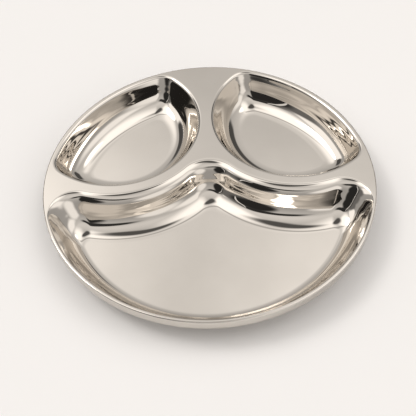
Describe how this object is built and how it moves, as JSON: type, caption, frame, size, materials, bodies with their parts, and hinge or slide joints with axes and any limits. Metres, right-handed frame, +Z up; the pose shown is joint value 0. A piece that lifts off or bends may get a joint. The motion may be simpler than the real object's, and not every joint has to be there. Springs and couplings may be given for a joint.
{
  "type": "tiffin plate",
  "caption": "Round divided serving plate pressed from polished steel sheet: small rounded pockets behind a wide front pocket, flat land between them, turned-down curled rim.",
  "frame": {"origin": "centre of the round outline, on the plane of the pocket floors' undersides", "axes": "+Z up out of the pockets, +Y from the wide front pocket towards the small back pockets, +X to the right for a diner at -Y"},
  "size_m": [0.25, 0.25, 0.0247],
  "materials": {
    "polished_steel": "mirror-polished bare stainless steel, no plating, faint polishing marks",
    "wire_steel": "drawn steel wire, hidden in the curl"
  },
  "bodies": {
    "root": {"plate_pressing": "polished_steel", "edge_wire": "wire_steel"}
  },
  "joints": []
}
